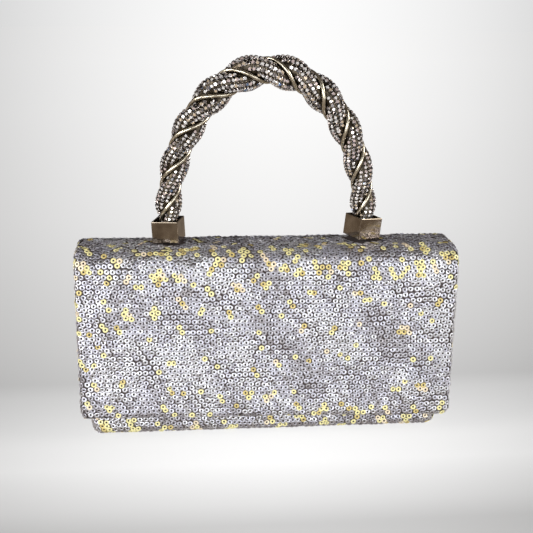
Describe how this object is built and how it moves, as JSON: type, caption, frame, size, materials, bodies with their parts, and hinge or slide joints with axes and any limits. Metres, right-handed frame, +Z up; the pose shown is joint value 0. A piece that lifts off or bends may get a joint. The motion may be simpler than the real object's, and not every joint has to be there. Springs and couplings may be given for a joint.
{
  "type": "evening bag",
  "caption": "Small box-shaped evening bag covered in sequins, with a full flap held by a magnetic snap and a rigid twisted handle standing on two square metal sockets.",
  "frame": {"origin": "on the table under the middle of the bag", "axes": "+Z up, -Y the front with the flap, X along the width"},
  "size_m": [0.22, 0.038, 0.2225],
  "materials": {
    "sequin_cloth": "mesh cloth covered with silver and pale gold sequins",
    "lining_satin": "satin",
    "binding": "grosgrain",
    "wadding": "felted wadding",
    "board": "grey stiffening board",
    "pave_strand": "antique plated strand set with clear stones",
    "groove_wire": "polished antique plate",
    "polished_nickel": "polished dark nickel plate",
    "steel": "plain zinc plated"
  },
  "bodies": {
    "bag_body": {"body_cover": "sequin_cloth", "body_front_board": "board", "body_back_board": "board", "body_base_board": "board", "body_side_board_left": "board", "body_side_board_right": "board", "body_lining": "lining_satin", "slip_pocket": "lining_satin", "mouth_binding": "binding", "snap_socket": "polished_nickel", "snap_socket_backplate": "steel"},
    "flap": {"flap_cover": "sequin_cloth", "flap_wadding": "wadding", "flap_top_board": "board", "flap_front_board": "board", "flap_lining": "lining_satin", "flap_edge_binding": "binding", "handle_plate": "steel", "snap_stud": "polished_nickel", "snap_stud_backplate": "steel", "handle_strand_a": "pave_strand", "handle_strand_b": "pave_strand", "groove_wire_a": "groove_wire", "groove_wire_b": "groove_wire", "handle_core": "steel", "handle_plug_left": "steel", "handle_plug_right": "steel", "handle_screw_left": "steel", "handle_screw_right": "steel"},
    "socket_left": {"handle_socket_left": "polished_nickel"},
    "socket_right": {"handle_socket_right": "polished_nickel"}
  },
  "joints": [
    {"name": "flap_hinge", "type": "hinge", "parent": "bag_body", "child": "flap", "pos_m": [0, 0.019, 0.1074], "axis": [-1, 0, 0], "range_deg": [0, 140]},
    {"name": "socket_swivel_left", "type": "hinge", "parent": "flap", "child": "socket_left", "pos_m": [-0.05697, 0.0055, 0.11628], "axis": [-0.0523, 0, 0.9986], "range_deg": [-45, 45]},
    {"name": "socket_swivel_right", "type": "hinge", "parent": "flap", "child": "socket_right", "pos_m": [0.05664, 0.0055, 0.11685], "axis": [0.1045, 0, 0.9945], "range_deg": [-45, 45]}
  ]
}
